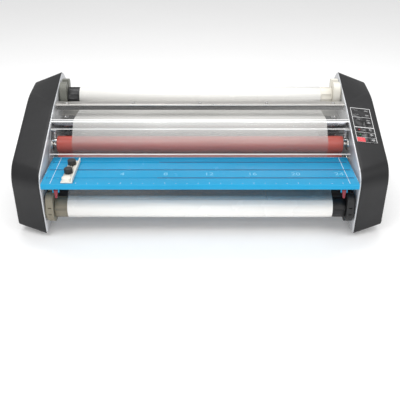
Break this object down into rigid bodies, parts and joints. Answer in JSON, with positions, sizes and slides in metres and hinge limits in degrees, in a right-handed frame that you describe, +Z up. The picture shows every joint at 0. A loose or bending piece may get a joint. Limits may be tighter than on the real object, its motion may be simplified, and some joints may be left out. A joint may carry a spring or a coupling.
{
  "type": "roll laminator",
  "caption": "Desktop thermal roll laminator with faceted side covers, red heat rollers, film rolls above and below, hinged clear shield and blue feed tray.",
  "frame": {"origin": "on the table under the middle of the machine", "axes": "+X along the rollers to the operator's right, +Y from the feed side to the rear, +Z up"},
  "size_m": [0.894, 0.52, 0.3114],
  "materials": {
    "charcoal_plastic": "fine texture",
    "zinc_steel": "satin",
    "black_steel": "satin",
    "grey_steel": "satin",
    "bright_steel": "polished",
    "hinge_aluminium": "satin",
    "red_silicone": "satin",
    "black_rubber": "matte",
    "blue_plastic": "satin",
    "clear_plastic": "clear",
    "film": "gloss",
    "film_web": "clear",
    "grey_bracket": "satin",
    "cream_plastic": "satin",
    "tan_plastic": "satin",
    "black_plastic": "satin",
    "white_plastic": "satin",
    "red_plastic": "gloss",
    "nylon": "satin",
    "brass_bush": "satin",
    "lamp_lens": "gloss",
    "circuit_board": "satin"
  },
  "bodies": {
    "machine": {"left_side_frame": "zinc_steel", "right_side_frame": "zinc_steel", "left_side_cover": "charcoal_plastic", "right_side_cover": "charcoal_plastic", "cover_screws": "zinc_steel", "rubber_feet": "black_rubber", "base_pan": "grey_steel", "front_cross_member": "black_steel", "rear_panel": "black_steel", "pull_roller_guard": "grey_steel", "tie_bars": "zinc_steel", "roller_bushes": "brass_bush", "pressure_springs": "zinc_steel", "heater_lamps": "zinc_steel", "drive_motor": "black_steel", "drive_belt": "black_rubber", "upper_left_roll_bracket": "grey_bracket", "upper_right_roll_bracket": "cream_plastic", "lower_left_roll_bracket": "tan_plastic", "lower_right_roll_bracket": "black_plastic", "upper_film_web": "film_web", "lower_film_web": "film_web", "laminated_film": "film_web", "control_panel_plate": "black_plastic", "indicator_lamps": "lamp_lens", "control_board": "circuit_board", "power_inlet": "black_plastic", "power_supply": "circuit_board"},
    "shield": {"shield_hinge_bar": "hinge_aluminium", "safety_shield": "clear_plastic", "shield_screws": "zinc_steel"},
    "upper_heat_roller": {"upper_heat_roller_core": "bright_steel", "upper_heat_roller_sleeve": "red_silicone", "upper_heat_gear": "nylon"},
    "lower_heat_roller": {"lower_heat_roller_core": "bright_steel", "lower_heat_roller_sleeve": "red_silicone", "lower_heat_gear": "nylon"},
    "upper_pull": {"upper_pull_roller": "black_rubber"},
    "lower_pull": {"lower_pull_roller": "black_rubber"},
    "motor_drive": {"motor_pulley": "nylon"},
    "upper_idler_bar": {"upper_idler": "bright_steel"},
    "lower_idler_bar": {"lower_idler": "bright_steel"},
    "upper_supply": {"upper_film_roll": "film", "upper_left_core_plug": "black_plastic", "upper_right_core_plug": "cream_plastic"},
    "lower_supply": {"lower_film_roll": "film", "lower_left_core_plug": "tan_plastic", "lower_right_core_plug": "black_plastic"},
    "tray": {"feed_tray": "blue_plastic"},
    "guide": {"edge_guide": "white_plastic"},
    "front_knob": {"front_guide_knob": "black_plastic"},
    "rear_knob": {"rear_guide_knob": "black_plastic"},
    "left_latch": {"left_tray_latch": "red_plastic"},
    "right_latch": {"right_tray_latch": "red_plastic"},
    "switch_rocker": {"power_rocker": "black_plastic"},
    "upper_key_cap": {"upper_key": "black_plastic"},
    "heat_key_cap": {"heat_key": "black_plastic"},
    "run_key_cap": {"run_key": "black_plastic"},
    "reverse_key_cap": {"reverse_key": "black_plastic"},
    "stop_key_cap": {"stop_key": "red_plastic"}
  },
  "joints": [
    {"name": "shield_hinge", "type": "hinge", "parent": "machine", "child": "shield", "pos_m": [0, 0.021, 0.2565], "axis": [-1, 0, 0], "range_deg": [0, 85]},
    {"name": "lower_heat_spin", "type": "hinge", "parent": "machine", "child": "lower_heat_roller", "pos_m": [0, -0.0633, 0.146], "axis": [1, 0, 0], "continuous": true},
    {"name": "upper_heat_spin", "type": "hinge", "parent": "machine", "child": "upper_heat_roller", "pos_m": [0, -0.0633, 0.188], "axis": [1, 0, 0], "continuous": true},
    {"name": "lower_pull_spin", "type": "hinge", "parent": "machine", "child": "lower_pull", "pos_m": [0, 0.11, 0.14775], "axis": [1, 0, 0], "continuous": true},
    {"name": "upper_pull_spin", "type": "hinge", "parent": "machine", "child": "upper_pull", "pos_m": [0, 0.11, 0.18625], "axis": [1, 0, 0], "continuous": true},
    {"name": "motor_spin", "type": "hinge", "parent": "machine", "child": "motor_drive", "pos_m": [0, 0.025, 0.07], "axis": [1, 0, 0], "continuous": true},
    {"name": "upper_idler_spin", "type": "hinge", "parent": "machine", "child": "upper_idler_bar", "pos_m": [0, -0.0327, 0.2306], "axis": [1, 0, 0], "continuous": true},
    {"name": "lower_idler_spin", "type": "hinge", "parent": "machine", "child": "lower_idler_bar", "pos_m": [0, -0.1137, 0.1274], "axis": [1, 0, 0], "continuous": true},
    {"name": "upper_supply_spin", "type": "hinge", "parent": "machine", "child": "upper_supply", "pos_m": [0, 0.0984, 0.26], "axis": [1, 0, 0], "continuous": true},
    {"name": "lower_supply_spin", "type": "hinge", "parent": "machine", "child": "lower_supply", "pos_m": [0, -0.182, 0.073], "axis": [1, 0, 0], "continuous": true},
    {"name": "tray_slide", "type": "slide", "parent": "machine", "child": "tray", "axis": [0, -1, 0], "range_m": [0, 0.16]},
    {"name": "guide_slide", "type": "slide", "parent": "tray", "child": "guide", "axis": [1, 0, 0], "range_m": [-0.02, 0.18]},
    {"name": "front_knob_turn", "type": "hinge", "parent": "guide", "child": "front_knob", "pos_m": [-0.308, -0.2, 0.175], "axis": [0, 0, 1], "range_deg": [-180, 180]},
    {"name": "rear_knob_turn", "type": "hinge", "parent": "guide", "child": "rear_knob", "pos_m": [-0.308, -0.15, 0.175], "axis": [0, 0, 1], "range_deg": [-180, 180]},
    {"name": "left_latch_pivot", "type": "hinge", "parent": "tray", "child": "left_latch", "pos_m": [-0.33, -0.251, 0.147], "axis": [-1, 0, 0], "range_deg": [0, 50], "stiffness_Nm_per_rad": 0.02},
    {"name": "right_latch_pivot", "type": "hinge", "parent": "tray", "child": "right_latch", "pos_m": [0.33, -0.251, 0.147], "axis": [-1, 0, 0], "range_deg": [0, 50], "stiffness_Nm_per_rad": 0.02},
    {"name": "rocker_tilt", "type": "hinge", "parent": "machine", "child": "switch_rocker", "pos_m": [0.262, 0.24, 0.062], "axis": [1, 0, 0], "range_deg": [0, 10]},
    {"name": "upper_key_press", "type": "slide", "parent": "machine", "child": "upper_key_cap", "axis": [-0.1344, 0.3721, -0.9184], "range_m": [0, 0.0012], "stiffness_N_per_m": 250},
    {"name": "heat_key_press", "type": "slide", "parent": "machine", "child": "heat_key_cap", "axis": [-0.1344, 0.3721, -0.9184], "range_m": [0, 0.0012], "stiffness_N_per_m": 250},
    {"name": "run_key_press", "type": "slide", "parent": "machine", "child": "run_key_cap", "axis": [-0.1344, 0.3721, -0.9184], "range_m": [0, 0.0012], "stiffness_N_per_m": 250},
    {"name": "reverse_key_press", "type": "slide", "parent": "machine", "child": "reverse_key_cap", "axis": [-0.1344, 0.3721, -0.9184], "range_m": [0, 0.0012], "stiffness_N_per_m": 250},
    {"name": "stop_key_press", "type": "slide", "parent": "machine", "child": "stop_key_cap", "axis": [-0.1344, 0.3721, -0.9184], "range_m": [0, 0.0012], "stiffness_N_per_m": 250}
  ],
  "couplings": [
    {"joint": "upper_heat_spin", "follows": "lower_heat_spin", "ratio": -1},
    {"joint": "lower_pull_spin", "follows": "lower_heat_spin", "ratio": 1.0884},
    {"joint": "upper_pull_spin", "follows": "lower_heat_spin", "ratio": -1.0884},
    {"joint": "motor_spin", "follows": "lower_heat_spin", "ratio": 2}
  ]
}
